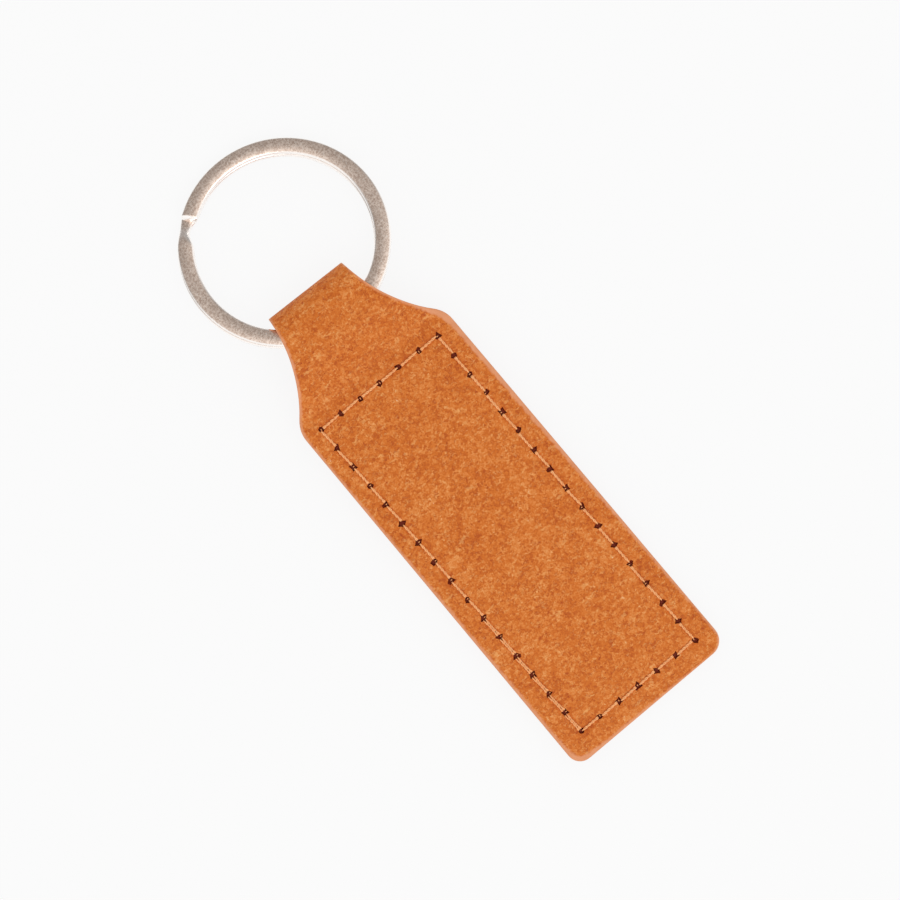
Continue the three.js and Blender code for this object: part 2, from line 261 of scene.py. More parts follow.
def face_height(y):
    """Height of the front leaf's outer face between the body and the loop's nose."""
    rise = (1 - math.cos(math.pi * min(max((y - TAPER_FROM) / (TAPER_TO - TAPER_FROM), 0), 1))) / 2
    return LEAF_FACE + (LOOP_HEIGHT - LEAF_FACE) * rise


def neck_rows():
    """Rows of the strip from the shoulder to the tip of the fold, each a y and a height."""
    rows = []
    for i in range(1, 7):
        y = SHOULDER_Y + SHOULDER_RADIUS * math.sin(SHOULDER_TURN * i / 6)
        rows.append((y, face_height(y)))
    for i in range(1, 15):
        y = NECK_FROM + (-LOOP_HEIGHT - NECK_FROM) * i / 14
        rows.append((y, face_height(y)))
    for i in range(1, 11):
        angle = math.pi / 2 * i / 10
        rows.append((-LOOP_HEIGHT + LOOP_HEIGHT * math.sin(angle), LOOP_HEIGHT * math.cos(angle)))
    return rows


def outline_points():
    """The outline from the neck's left side, round the lower edge, to its right side."""
    rows = [SHOULDER_Y] + [y for y, _ in neck_rows()[:20]] + [0.5]
    left = [(-half_width(y), y) for y in reversed(rows)]
    right = [(half_width(y), y) for y in rows]
    lower = []
    for radius, side in ((CORNER_RADIUS_LEFT, -1), (CORNER_RADIUS_RIGHT, 1)):
        for i in range(9):
            angle = math.pi / 2 * (i / 8 if side > 0 else 1 - i / 8)
            x = side * (BODY_WIDTH_END / 2 - radius + radius * math.sin(angle))
            lower.append((x, radius - FOB_LENGTH - radius * math.cos(angle)))
    return np.array(left + lower + right)


def distances_to(points, line):
    """Distance of each point from the nearest stretch of a line, seen from above."""
    least = np.full(len(points), np.inf)
    for a, b in zip(line[:-1], line[1:]):
        along = b - a
        share = np.clip(((points - a) @ along) / (along @ along), 0, 1)
        gap = points - (a + share[:, None] * along)
        least = np.minimum(least, np.hypot(gap[:, 0], gap[:, 1]))
    return least


def seam_holes():
    """One hole per stitch end, clockwise from the upper left corner."""
    holes = []
    for corner, following in zip(SEAM_CORNERS, SEAM_CORNERS[1:] + SEAM_CORNERS[:1]):
        stitches = round((following - corner).length / STITCH)
        holes += [corner.lerp(following, k / stitches) for k in range(stitches)]
    return holes


HOLES = seam_holes()
SEAM_LINE = np.array([tuple(corner) for corner in SEAM_CORNERS + SEAM_CORNERS[:1]])


# Leather strap
def cut_and_fold_strap():
    """Cuts the front leaf to its outline, carries the neck up round half the fold, and mirrors it."""
    strap = start(
        "folded_leather_strap",
        bpy.ops.mesh.primitive_plane_add,
        size=1,
        location=(0, (SHOULDER_Y - FOB_LENGTH) / 2, LEAF_FACE),
    )
    stretch((BODY_WIDTH_TOP, SHOULDER_Y + FOB_LENGTH, 1), (0, (SHOULDER_Y - FOB_LENGTH) / 2, LEAF_FACE))
    pick(strap, "VERT", lambda v: v.co.y < -FOB_LENGTH / 2)
    stretch((BODY_WIDTH_END / BODY_WIDTH_TOP, 1, 1), (0, -FOB_LENGTH, LEAF_FACE))
    for side, radius in ((-1, CORNER_RADIUS_LEFT), (1, CORNER_RADIUS_RIGHT)):
        pick(strap, "VERT", lambda v: v.co.x * side > 0 and v.co.y < radius / 2 - FOB_LENGTH)
        bpy.ops.mesh.bevel(offset=radius, segments=8, affect="VERTICES")
    pick(strap, "EDGE", lambda e: all(abs(v.co.y - SHOULDER_Y) < 0.001 for v in e.verts))
    y, height = SHOULDER_Y, LEAF_FACE
    slanted_rows = sum(1 for row in neck_rows() if row[0] > TAPER_FROM)
    for next_y, next_height in neck_rows():
        step = (0, next_y - y, next_height - height)
        bpy.ops.mesh.extrude_edges_move(TRANSFORM_OT_translate={"value": step})
        stretch((half_width(next_y) / half_width(y), 1, 1), (0, next_y, next_height))
        if next_y > TAPER_FROM:
            turn(-FOLD_SLANT / slanted_rows, "Z", (0, next_y, next_height))
        y, height = next_y, next_height
    modify(strap, "MIRROR", use_axis=(False, False, True), merge_threshold=0.001)
    bpy.ops.mesh.select_all(action="SELECT")
    bpy.ops.mesh.normals_make_consistent(inside=False)
    front = max(bmesh.from_edit_mesh(strap.data).faces, key=lambda f: middle(f).z + f.calc_area())
    if front.normal.z * middle(front).z < 0:
        bpy.ops.mesh.flip_normals()
    bpy.ops.mesh.inset(thickness=EDGE_BAND, use_boundary=True, use_even_offset=True)
    return strap


def thicken_strap(strap):
    """Gives the leather its thickness and rounds its edges, the painted ones less round the fold."""
    outer_count = len(bmesh.from_edit_mesh(strap.data).verts)
    modify(strap, "SOLIDIFY", thickness=STRAP_THICKNESS, offset=-1, use_even_offset=True)
    for y, height in neck_rows():
        if TAPER_FROM < y < TAPER_TO:
            slope = math.atan((face_height(y + 0.01) - height) / 0.01)
            row = {
                v.index + outer_count
                for v in bmesh.from_edit_mesh(strap.data).verts
                if v.index < outer_count and abs(v.co.y - y) < 0.3
            }
            inner_width = half_width(y + STRAP_THICKNESS * math.sin(slope))
            pick(strap, "VERT", lambda v: v.index in row)
            stretch((inner_width / half_width(y), 1, 1), (0, y, 0))
    mesh = bmesh.from_edit_mesh(strap.data)
    weights = []
    for edge in mesh.edges:
        rounding = 0
        if edge.calc_face_angle(0) > SHARP_EDGE:
            if all(vertex.index < outer_count for vertex in edge.verts):
                near_fold = eased((middle(edge).y - 2 * TAPER_TO) / (-TAPER_TO - LOOP_HEIGHT / 2))
                rounding = PAINTED_EDGE + (FOLD_EDGE - PAINTED_EDGE) * near_fold
            elif all(vertex.index >= outer_count for vertex in edge.verts):
                rounding = FLESH_EDGE
        weights.append(rounding / PAINTED_EDGE)
    bpy.ops.object.mode_set(mode="OBJECT")
    rounding = strap.data.attributes.new("bevel_weight_edge", "FLOAT", "EDGE")
    rounding.data.foreach_set("value", weights)
    modify(
        strap, "BEVEL", limit_method="WEIGHT", width=PAINTED_EDGE, segments=4, use_clamp_overlap=False
    )


def press_crease(strap):
    """Cuts lines beside the seam and presses them down, deepest where the thread lies."""
    for corner, following in zip(SEAM_CORNERS, SEAM_CORNERS[1:] + SEAM_CORNERS[:1]):
        along = (following - corner).normalized()
        aside = Vector((-along.y, along.x))
        for offset in (*(-line for line in reversed(CREASE_LINES)), *CREASE_LINES):
            bpy.ops.mesh.select_all(action="SELECT")
            place = corner + aside * offset
            bpy.ops.mesh.bisect(plane_co=(*place, 0), plane_no=(*aside, 0), threshold=1e-4)
    mesh = bmesh.from_edit_mesh(strap.data)
    places = np.array([tuple(v.co) for v in mesh.verts])
    away = distances_to(places[:, :2], SEAM_LINE)
    for face in (1, -1):
        on_face = np.abs(places[:, 2] * face - LEAF_FACE) < 0.001
        for level in range(CREASE_LEVELS):
            low = CREASE_REACH * level / CREASE_LEVELS
            band = on_face & (away >= low) & (away < low + CREASE_REACH / CREASE_LEVELS)
            depth = CREASE_DEPTH * (1 - eased((low - CREASE_FLOOR) / (CREASE_REACH - CREASE_FLOOR)))
            if band.any():
                pick(strap, "VERT", lambda v: band[v.index])
                shift((0, 0, -face * depth))


def needle_punches():
    """Star-shaped punches for the needle holes: three kinds, with the leather's face at z 0."""
    kinds = []
    for points in (3, 4, 5):
        punch = start(
            f"punch_{points}",
            bpy.ops.mesh.primitive_cylinder_add,
            vertices=2 * points,
            radius=HOLE_RADIUS,
            depth=2 * (CREASE_DEPTH + PUNCH_PROUD),
            end_fill_type="NGON",
        )
        pick(punch, "FACE", lambda f: f.normal.z < -0.9)
        bpy.ops.mesh.extrude_region_move(TRANSFORM_OT_translate={"value": (0, 0, -HOLE_DEPTH / 2)})
        stretch((HOLE_TIP_SHARE, HOLE_TIP_SHARE, 1), (0, 0, 0))
        pick(punch, "VERT", lambda v: round(math.atan2(v.co.y, v.co.x) / math.pi * points) % 2 == 0)
        stretch((STAR_SHARE, STAR_SHARE, 1), (0, 0, 0))
        bpy.ops.object.mode_set(mode="OBJECT")
        kinds.append(punch)
    return kinds


def copy_to(kind, place, collection):
    """A copy of a finished shape with its own mesh, placed by a matrix."""
    twin = kind.copy()
    twin.data = kind.data.copy()
    twin.data.transform(place)
    collection.append(twin)
    bpy.context.scene.collection.objects.link(twin)


def join(pieces, name):
    bpy.ops.object.select_all(action="DESELECT")
    for piece in pieces:
        piece.select_set(True)
    bpy.context.view_layer.objects.active = pieces[0]
    bpy.ops.object.join()
    joined = bpy.context.object
    joined.name = name
    joined.data.name = name
    return joined


def discard(*pieces):
    for piece in pieces:
        bpy.data.objects.remove(piece)


def punch_holes(strap):
    bpy.ops.object.mode_set(mode="OBJECT")
    kinds = needle_punches()
    punches = []
    for face in (1, -1):
        flip = Matrix.Identity(4) if face > 0 else Matrix.Rotation(math.pi, 4, "X")
        for hole in HOLES:
            spin = Matrix.Rotation(DICE.uniform(0, 2 * math.pi), 4, "Z")
            length, width = DICE.uniform(*HOLE_SIZE_SHARES), DICE.uniform(*HOLE_SIZE_SHARES)
            size = Matrix.Diagonal((length, width, 1, 1))
            place = Matrix.Translation((hole.x, hole.y, face * LEAF_FACE)) @ flip @ spin @ size
            copy_to(DICE.choice(kinds), place, punches)
    cutter = join(punches, "punches")
    bpy.ops.object.select_all(action="DESELECT")
    strap.select_set(True)
    bpy.context.view_layer.objects.active = strap
    modify(strap, "BOOLEAN", operation="DIFFERENCE", object=cutter, solver="EXACT")
    bpy.ops.object.mode_set(mode="OBJECT")
    discard(cutter, *kinds)


def paint_marks(strap):
    """Marks the mesh for its finish.

    Each corner carries its distance from the strap's edge, less where the paint runs wide; whether it lies in a
    hole, which the finish paints dark as painted shade;
    and how far it lies below the outer face, which the finish uses to paint shade low on the edge's wall.
    """
    mesh = strap.data
    places = np.array([tuple(vertex.co) for vertex in mesh.vertices])
    edge = distances_to(places[:, :2], outline_points())
    wide_spots = (
        (Vector((BODY_WIDTH_TOP / 2 - 1, SHOULDER_Y + 1)), 4.5, 0.7),
        (Vector((1.5 - BODY_WIDTH_END / 2, 1.0 - FOB_LENGTH)), 5, 0.5),
        (Vector((BODY_WIDTH_TOP / 2, SHOULDER_Y - 14)), 18, 0.3),
        (Vector((2, -FOB_LENGTH)), 14, -0.3),
    )
    for spot, reach, wider in wide_spots:
        away = np.hypot(places[:, 0] - spot.x, places[:, 1] - spot.y)
        edge = edge - wider * np.clip(1 - away / reach, 0, 1)
    centres = np.array([tuple(hole) for hole in HOLES])
    aside = places[:, None, :2] - centres[None, :, :]
    nearest = np.min(np.hypot(aside[:, :, 0], aside[:, :, 1]), axis=1)
    sunk = LEAF_FACE - np.abs(places[:, 2])
    rim = 0.02
    rim_reach = 0.05
    hole_share = 1.2
    # Corners inside the needle holes, which the leather's finish paints dark as painted shade.
    below_rim = np.clip((sunk - CREASE_DEPTH - rim) / rim_reach, 0, 1)
    in_hole = below_rim * (nearest < hole_share * HOLE_RADIUS)
    # How far below the outer face a corner of the body lies, which the finish uses to paint shade low on the
    # edge's wall.
    under = np.clip(sunk / STRAP_THICKNESS, 0, 1) * (places[:, 1] < TAPER_FROM)
    for name, values in (("edge_distance", edge), ("hole_depth", in_hole), ("under_face", under)):
        mark = mesh.attributes.new(name, "FLOAT", "POINT")
        mark.data.foreach_set("value", values.astype(np.float32))


def make_strap():
    strap = cut_and_fold_strap()
    thicken_strap(strap)
    press_crease(strap)
    punch_holes(strap)
    paint_marks(strap)
    bpy.ops.object.shade_smooth_by_angle(angle=math.radians(35))
    settle(strap, FOB_PLACE)
    return strap


# Stitching
def make_stitch(name, bow, knotted):
    """One stitch of two-ply thread along +X between two holes, with the leather's face at z 0.

    It rises from its first hole, bends over, runs along the face and dives into its second hole.
    bow is how far its middle lies aside from a straight line. A knotted one shows its knot in its first
    hole.
    """
    leg = 0.42
    bend = 0.2
    dive = 0.4
    low = THREAD_PROUD - bend - dive
    stitch = start(
        name,
        bpy.ops.mesh.primitive_circle_add,
        vertices=PLY_SIDES,
        radius=PLY_RADIUS,
        fill_type="NGON",
        location=(leg, PLY_OFFSET, low),
    )
    bpy.ops.mesh.primitive_circle_add(
        vertices=PLY_SIDES, radius=PLY_RADIUS, fill_type="NGON", location=(leg, -PLY_OFFSET, low)
    )
    bpy.ops.mesh.select_all(action="SELECT")
    centre = Vector((leg, 0, low))
    heading = math.pi / 2
    run = STITCH - 2 * (leg + bend)
    run_steps = 24
    bend_steps = 4
    walk = [(dive, 0, 0)]
    walk += [(2 * bend * math.sin(math.pi / 4 / bend_steps), -math.pi / 2 / bend_steps, 0)] * bend_steps
    twist = 2 * math.pi * (run / run_steps) / TWIST_PITCH
    walk += [(run / run_steps, 0, twist)] * run_steps
    walk += [(2 * bend * math.sin(math.pi / 4 / bend_steps), -math.pi / 2 / bend_steps, 0)] * bend_steps
    walk += [(dive, 0, 0)]
    for length, bending, twisting in walk:
        heading += bending / 2
        step = Vector((math.cos(heading), 0, math.sin(heading))) * length
        heading += bending / 2
        bpy.ops.mesh.extrude_region_move(TRANSFORM_OT_translate={"value": step})
        centre += step
        if bending:
            turn(-bending, "Y", centre)
        if twisting:
            turn(twisting, "X", centre)
    bpy.ops.mesh.select_all(action="SELECT")
    bpy.ops.mesh.normals_make_consistent(inside=False)
    verts = bmesh.from_edit_mesh(stitch.data).verts
    stations = sorted({round(v.co.x, 3) for v in verts if v.co.z > -bend})
    if bow:
        for low_x, high_x in zip(stations[:-1], stations[1:]):
            share = (low_x - leg) / (STITCH - 2 * leg)
            pick(
                stitch, "VERT", lambda v: low_x - 0.0005 <= v.co.x < high_x - 0.0005 and v.co.z > -bend
            )
            shift((0, bow * math.sin(math.pi * min(max(share, 0), 1)), 0))
    if knotted:
        bpy.ops.mesh.select_all(action="DESELECT")
        bpy.ops.mesh.primitive_circle_add(
            vertices=PLY_SIDES,
            radius=KNOT_PLY_SHARE * PLY_RADIUS,
            fill_type="NGON",
            location=(0, -KNOT_REACH_SHARE * PLY_RADIUS, -KNOT_DEPTH),
        )
        bpy.ops.mesh.spin(steps=6, angle=math.pi, center=(0, 0, -KNOT_DEPTH), axis=(1, 0, 0))
    bpy.ops.mesh.select_all(action="SELECT")
    bpy.ops.mesh.normals_make_consistent(inside=False)
    bpy.ops.object.mode_set(mode="OBJECT")
    return stitch


def make_stitching(name, face, kinds):
    """Sews one face all round: one stitch between two holes, or two side by side where it is tacked."""
    stitches = []
    sunk = 0 if face > 0 else BACK_THREAD_SUNK
    flip = Matrix.Identity(4) if face > 0 else Matrix.Rotation(math.pi, 4, "X")
    for i, hole in enumerate(HOLES):
        following = HOLES[(i + 1) % len(HOLES)]
        way = following - hole
        lean = DICE.uniform(*STITCH_LEAN)
        aim = Matrix.Rotation(math.atan2(way.y, way.x) + lean, 4, "Z")
        at = Matrix.Translation((hole.x, hole.y, face * (LEAF_FACE - sunk)))
        tacked = i in BACK_TACKED
        for lane in BACK_TACKED_LANES if tacked else (DICE.uniform(*STITCH_LANES),):
            if tacked:
                kind = kinds["left_strand" if lane < 0 else "right_strand"]
            else:
                kind = kinds["knotted_stitch" if DICE.random() < KNOTTED_SHARE else "stitch"]
            aside = Matrix.Translation((0, lane, 0))
            width = BACK_TACKED_WIDTH_SHARE if tacked else 1.0
            size = Matrix.Diagonal((way.length / STITCH, width, 1, 1))
            copy_to(kind, at @ aim @ aside @ size @ flip, stitches)
    return join(stitches, name)


# Split ring
def wire_section_at(share):
    """The wire at a share of its step: how far its inner and outer sides are drawn in, and its climb."""
    narrow_from, narrowest, narrow_to = STEP_NARROW_SHARES
    if share < narrowest:
        narrowing = eased((share - narrow_from) / (narrowest - narrow_from))
    else:
        narrowing = eased((narrow_to - share) / (narrow_to - narrowest))
    outer = STEP_DENT * narrowing
    inner = (WIRE_WIDTH - STEP_WIDTH) * narrowing - outer
    return inner, outer, eased(share) * COIL_PITCH


def wire_section(middle_radius, low):
    """Draws the wire's section: flat faces that fall away a little to both sides, and rounded sides."""
    ring = start(
        "wound_split_ring",
        bpy.ops.mesh.primitive_plane_add,
        size=1,
        location=(middle_radius, 0, low),
        rotation=(math.pi / 2, 0, 0),
    )
    stretch((WIRE_WIDTH, 1, WIRE_THICKNESS), (middle_radius, 0, low))
    for side, radius in ((-1, WIRE_ROUNDING_INNER), (1, WIRE_ROUNDING_OUTER)):
        pick(ring, "VERT", lambda v: (v.co.x - middle_radius) * side > WIRE_WIDTH / 2 - 0.01)
        bpy.ops.mesh.bevel(offset=radius, segments=6, affect="VERTICES")
    for side in (-1, 1):
        level = low + side * WIRE_THICKNESS / 2
        pick(ring, "EDGE", lambda e: all(abs(v.co.z - level) < 0.001 for v in e.verts))
        bpy.ops.mesh.subdivide(number_cuts=5)
    columns = sorted({round(v.co.x, 3) for v in bmesh.from_edit_mesh(ring.data).verts})
    for x in columns:
        share = (x - middle_radius) / (WIRE_WIDTH / 2)
        pick(ring, "VERT", lambda v: abs(v.co.x - x) < 0.001)
        stretch((1, 1, 1 - (1 - WIRE_EDGE_THICKNESS_SHARE) * share * share), (middle_radius, 0, low))
    bpy.ops.mesh.select_all(action="SELECT")
    return ring


def wind_wire(ring):
    """Carries the section round two turns: it climbs a layer at the step, and the lower turn has slipped."""
    full = 2 * math.pi
    step_from = STEP_FROM + full
    step = STEP_TO - STEP_FROM
    narrow_from = step_from + step * STEP_NARROW_SHARES[0]
    narrow_to = step_from + step * STEP_NARROW_SHARES[2]
    stations = []
    for start_angle, end_angle, count in (
        (LOWER_END, narrow_from, TURN_STEPS),
        (narrow_from, narrow_to, NARROW_STEPS),
        (narrow_to, UPPER_END + 2 * full, TURN_STEPS),
    ):
        stations += [start_angle + (end_angle - start_angle) * (i + 1) / count for i in range(count)]
    angle = LOWER_END
    centre = LOWER_TURN_SLIP
    turn(angle, "Z", (0, 0, 0))
    shift(centre)
    inner, outer, climb = 0, 0, 0
    for station in stations:
        bpy.ops.mesh.extrude_region_move(TRANSFORM_OT_translate={"value": (0, 0, 0)})
        turn(station - angle, "Z", centre)
        angle = station
        share = (angle - step_from) / step
        next_inner, next_outer, next_climb = wire_section_at(share)
        if (next_inner, next_outer, next_climb) != (inner, outer, climb):
            width = WIRE_WIDTH - inner - outer
            next_width = WIRE_WIDTH - next_inner - next_outer
            axis = RING_RADIUS - outer - width / 2
            next_axis = RING_RADIUS - next_outer - next_width / 2
            turn(-angle, "Z", centre)
            stretch((next_width / width, 1, 1), centre + Vector((axis, 0, 0)))
            shift((next_axis - axis, 0, next_climb - climb))
            turn(angle, "Z", centre)
            next_centre = LOWER_TURN_SLIP * (1 - eased(share))
            shift(next_centre - centre)
            inner, outer, climb, centre = next_inner, next_outer, next_climb, next_centre
    bpy.ops.mesh.select_all(action="SELECT")
    bpy.ops.mesh.normals_make_consistent(inside=False)


def cut_upper_end(ring, middle_radius):
    """Cuts the upper end on the slant, so that its face looks up a little."""
    end = Vector((math.cos(UPPER_END), math.sin(UPPER_END), 0)) * middle_radius
    end.z = (COIL_PITCH - WIRE_THICKNESS) / 2
    onward = Vector((-math.sin(UPPER_END), math.cos(UPPER_END), 0))
    cut = onward * math.cos(UPPER_END_SLOPE) + Vector((0, 0, math.sin(UPPER_END_SLOPE)))

    def by_the_end(face):
        away = middle(face) - end
        in_upper_turn = min(vertex.co.z for vertex in face.verts) > 0
        return in_upper_turn and away.length < END_REACH and CUT_AWAY[0] < away.dot(onward) < CUT_AWAY[1]

    pick(ring, "FACE", by_the_end)
    bpy.ops.mesh.bisect(plane_co=end, plane_no=cut, clear_outer=True, use_fill=True)


def round_ends(ring):
    """Draws both cut faces out a little and narrows them, so that the wire's ends aren't sharp."""
    caps = [f for f in bmesh.from_edit_mesh(ring.data).faces if len(f.verts) > 6]
    for place, way in [(middle(cap), cap.normal.copy()) for cap in caps]:
        pick(ring, "FACE", lambda f: len(f.verts) > 6 and (middle(f) - place).length < 0.1)
        bpy.ops.mesh.extrude_region_move(TRANSFORM_OT_translate={"value": way * END_ROUNDING})
        stretch((1 - 2 * END_ROUNDING,) * 3, place + way * END_ROUNDING)


def make_ring():
    """Winds the flattened wire into a ring of two turns and finishes its ends."""
    middle_radius = RING_RADIUS - WIRE_WIDTH / 2
    ring = wire_section(middle_radius, -COIL_PITCH / 2)
    wind_wire(ring)
    cut_upper_end(ring, middle_radius)
    round_ends(ring)
    bpy.ops.mesh.select_all(action="SELECT")
    turn(-OUT_OF_ROUND_TOWARDS, "Z", (0, 0, 0))
    stretch((*OUT_OF_ROUND, 1), (0, 0, 0))
    turn(OUT_OF_ROUND_TOWARDS, "Z", (0, 0, 0))
    bpy.ops.object.mode_set(mode="OBJECT")
    # Marks the wire's sides, which the nickel finish paints near white as a painted reflection of the pale room.
    lean = np.array([abs(vertex.normal.z) for vertex in ring.data.vertices])
    mark = ring.data.attributes.new("rubbed_side", "FLOAT", "POINT")
    side_sheen = np.clip((SHEEN_LEAN - lean) / SHEEN_LEAN_REACH, 0, 1)
    mark.data.foreach_set("value", side_sheen.astype(np.float32))
    bpy.ops.object.shade_smooth_by_angle(angle=math.radians(40))
    settle(ring, RING_PLACE)
    return ring


# Finishes
def shade(red, green, blue):
    """A colour as the eye reads it, 0 to 255, as the light values that a shader takes."""
    values = []
    for part in (red, green, blue):
        part = part / 255
        values.append(part / 12.92 if part <= 0.04045 else ((part + 0.055) / 1.055) ** 2.4)
    return (*values, 1)


class Value:
    """A number or colour that changes over a surface. Sums and products of values add Math nodes."""

    def __init__(self, finish, socket):
        self.finish = finish
        self.socket = socket

    def maths(self, operation, first, second):
        return self.finish.node("ShaderNodeMath", {"operation": operation}, {0: first, 1: second})

    def __add__(self, other):
        return self.maths("ADD", self, other)

    def __radd__(self, other):
        return self.maths("ADD", other, self)

    def __sub__(self, other):
        return self.maths("SUBTRACT", self, other)

    def __rsub__(self, other):
        return self.maths("SUBTRACT", other, self)

    def __mul__(self, other):
        return self.maths("MULTIPLY", self, other)

    def __rmul__(self, other):
        return self.maths("MULTIPLY", other, self)

    def __abs__(self):
        return self.maths("ABSOLUTE", self, 0.0)

    def ramp(self, low, high):
        """0 at low and 1 at high, eased between them."""
        settings = {"interpolation_type": "SMOOTHSTEP"}
        return self.finish.node("ShaderNodeMapRange", settings, {0: self, 1: low, 2: high})


class Nodes:
    """The nodes of a material or of the room."""

    def __init__(self, owner):
        owner.use_nodes = True
        self.tree = owner.node_tree
        self.tree.nodes.clear()

    def node(self, kind, settings, sockets, output=0):
        """Adds a node: its settings are set first, then the values or links of its sockets."""
        node = self.tree.nodes.new(kind)
        for setting, value in settings.items():
            if setting == "stops":
                for stop, (place, colour) in zip(
                    [node.color_ramp.elements[0], node.color_ramp.elements[1]]
                    + [node.color_ramp.elements.new(0.5) for _ in value[2:]],
                    value,
                ):
                    stop.position = place
                    stop.color = colour
            else:
                setattr(node, setting, value)
        for socket, value in sockets.items():
            if isinstance(value, Value):
                self.tree.links.new(value.socket, node.inputs[socket])
            else:
                node.inputs[socket].default_value = value
        return Value(self, node.outputs[output])

    def end(self, kind, shader):
        output = self.tree.nodes.new(kind)
        self.tree.links.new(shader.socket, output.inputs["Surface"])


class Finish(Nodes):
    """A material that changes over the surface in colour, gloss and relief."""

    def __init__(self, name):
        self.material = bpy.data.materials.new(name)
        super().__init__(self.material)

    def place(self):
        """The place on the piece, in millimetres."""
        coordinates = self.node("ShaderNodeTexCoord", {}, {}, output="Object")
        settings = {"operation": "SCALE"}
        return self.node("ShaderNodeVectorMath", settings, {0: coordinates, "Scale": 1 / MM})

    def noise(self, place, per_mm, detail=2.0, roughness=0.5, output=0):
        sockets = {"Vector": place, "Scale": per_mm, "Detail": detail, "Roughness": roughness}
        return self.node("ShaderNodeTexNoise", {}, sockets, output)

    def warped(self, place, per_mm, reach):
        """The place moved about by up to half of reach, so that a pattern on it loses its straight lines."""
        drift = self.noise(place, per_mm, 2.0, output="Color")
        middle_value = (0.5, 0.5, 0.5)
        centred = self.node("ShaderNodeVectorMath", {"operation": "SUBTRACT"}, {0: drift, 1: middle_value})
        scaled = self.node("ShaderNodeVectorMath", {"operation": "SCALE"}, {0: centred, "Scale": reach})
        return self.node("ShaderNodeVectorMath", {"operation": "ADD"}, {0: place, 1: scaled})

    def chips(self, place, per_mm):
        """A random number for each chip of a broken-up pattern."""
        cell = self.node("ShaderNodeTexVoronoi", {}, {"Vector": place, "Scale": per_mm}, output="Color")
        return self.node("ShaderNodeSeparateColor", {}, {0: cell})

    def streaks(self, place, angle, per_mm):
        """A pattern of short strokes that lie at an angle."""
        sockets = {"Vector": place, "Rotation": (0, 0, math.radians(angle)), "Scale": (0.33, 1, 1)}
        return self.noise(self.node("ShaderNodeMapping", {}, sockets), per_mm, 1.0)

    def mix(self, share, first, second):
        settings = {"data_type": "RGBA"}
        return self.node("ShaderNodeMix", settings, {0: share, 6: first, 7: second}, output=2)

    def mark(self, name):
        """A number that the piece's mesh carries."""
        return self.node("ShaderNodeAttribute", {"attribute_name": name}, {}, output="Fac")

    def surface(self, colour, roughness, height, depth, **plain):
        """The shader: height in shares of depth, which is in millimetres."""
        bump = self.node("ShaderNodeBump", {}, {"Height": height, "Distance": depth * MM, "Strength": 1.0})
        sockets = {"Base Color": colour, "Roughness": roughness, "Normal": bump}
        sockets.update({name.replace("_", " "): value for name, value in plain.items()})
        self.end("ShaderNodeOutputMaterial", self.node("ShaderNodeBsdfPrincipled", {}, sockets))

    def put_on(self, piece):
        piece.data.materials.clear()
        piece.data.materials.append(self.material)


def tan_leather():
    """Bonded leather: pressed chips and fibres in close tans, with smooth painted edges, and painted shade in the
    needle holes and low on the edge walls.
    """
    leather = Finish("tan_bonded_leather")
    place = leather.place()
    loose = leather.warped(place, 0.9, 1.6)
    tight = leather.warped(place, 2.6, 0.7)
    patches = leather.noise(place, 0.2, 2.0, 0.5)
    chips = leather.chips(loose, 0.95)
    crumbs = leather.chips(tight, 2.8)
    grain = leather.noise(tight, 3.8, 3.0, 0.65)
    tone = 0.5 + (patches - 0.5) * 0.3 + (chips - 0.5) * 0.18 + (crumbs - 0.5) * 0.34 + (grain - 0.5) * 1.05
    stops = [
        (0.08, shade(172, 68, 0)),
        (0.34, shade(199, 94, 14)),
        (0.52, shade(212, 111, 28)),
        (0.74, shade(227, 137, 64)),
        (0.95, shade(240, 176, 112)),
    ]
    ground = leather.node("ShaderNodeValToRGB", {"stops": stops}, {0: tone})
    short_fibres = 1 - abs(leather.noise(tight, 1.7, 1.0) - 0.5).ramp(0.012, 0.04)
    short_where = leather.noise(place, 1.3, 1.0).ramp(0.5, 0.6)
    colour = leather.mix(short_fibres * short_where * 0.4, ground, shade(248, 172, 100))
    long_fibres = 1 - abs(leather.noise(loose, 0.8, 1.5) - 0.5).ramp(0.004, 0.016)
    long_where = leather.noise(place, 0.55, 1.0).ramp(0.56, 0.68)
    colour = leather.mix(long_fibres * long_where * 0.6, colour, shade(250, 182, 112))
    for angle, per_mm in ((10, 2.0), (70, 1.7), (130, 2.3)):
        flecks = leather.streaks(tight, angle, per_mm).ramp(0.68, 0.74)
        colour = leather.mix(flecks * 0.35, colour, shade(246, 184, 112))
    drift = (leather.noise(place, 1.6, 2.0) - 0.5) * 0.6
    paint = 1 - (leather.mark("edge_distance") + drift).ramp(0.1, 0.55)
    smear = leather.noise(place, 0.7, 2.0)
    painted = leather.mix(smear, shade(212, 136, 92), shade(238, 164, 118))
    # Painted shade: the edge paint darkens low on the edge's wall, standing in for the dark shaded outline at the
    # strap's edge.
    painted = leather.mix(leather.mark("under_face").ramp(0.3, 0.6), painted, shade(150, 84, 52))
    colour = leather.mix(paint, colour, painted)
    # Painted shade: the walls of the needle holes are painted dark brown, standing in for the shade inside them.
    hole = leather.mark("hole_depth")
    colour = leather.mix(hole, colour, shade(132, 44, 14))
    roughness = 0.62 + (grain - 0.5) * 0.25 - paint * 0.12
    fibres = short_fibres * short_where * 0.3
    height = (grain * 0.5 + crumbs * 0.3 + chips * 0.2 + fibres) * (1 - paint * 0.85)
    leather.surface(colour, roughness, height, 0.05, Specular_IOR_Level=0.3)
    return leather


def peach_thread():
    """Waxed thread: pale peach, with darker grooves between the plies."""
    thread = Finish("peach_thread")
    place = thread.place()
    fibres = thread.noise(place, 9.0, 2.0, 0.6)
    wear = thread.noise(place, 0.9, 2.0)
    colour = thread.mix(fibres.ramp(0.3, 0.6), shade(246, 158, 92), shade(255, 190, 128))
    colour = thread.mix(wear.ramp(0.5, 0.75) * 0.4, colour, shade(238, 148, 86))
    thread.surface(colour, 0.5 + fibres * 0.2, fibres, 0.02, Specular_IOR_Level=0.5)
    return thread


